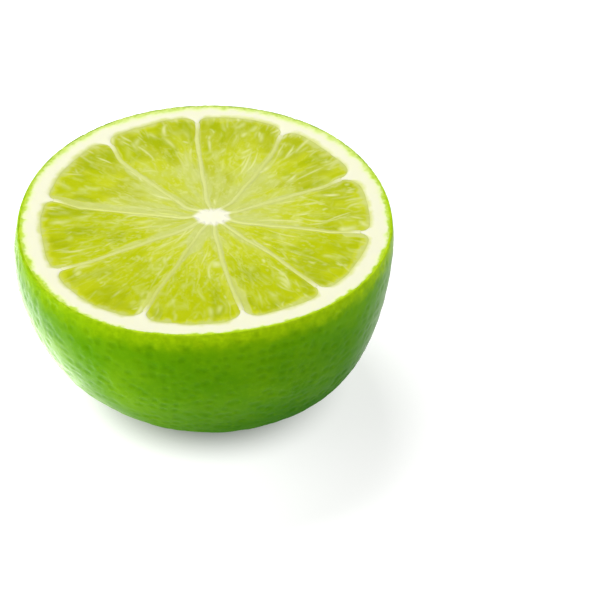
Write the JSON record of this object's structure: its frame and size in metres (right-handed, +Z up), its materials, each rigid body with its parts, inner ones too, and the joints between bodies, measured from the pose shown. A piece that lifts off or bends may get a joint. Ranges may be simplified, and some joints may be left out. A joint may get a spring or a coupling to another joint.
{
  "type": "lime half",
  "caption": "Half of a lime, cut across the fruit, standing cut face up: green peel, white pith, juicy segments, pale membranes and core.",
  "frame": {"origin": "middle of the half's bounding box in X and Y, at the surface that it stands on", "axes": "+Z up, out of the cut face; the fruit's own axis is along Z"},
  "size_m": [0.0524, 0.0522, 0.0284],
  "materials": {
    "peel": "satin",
    "pith": "matte",
    "pulp": "gloss"
  },
  "bodies": {
    "root": {"lime_half": "peel"}
  },
  "joints": []
}
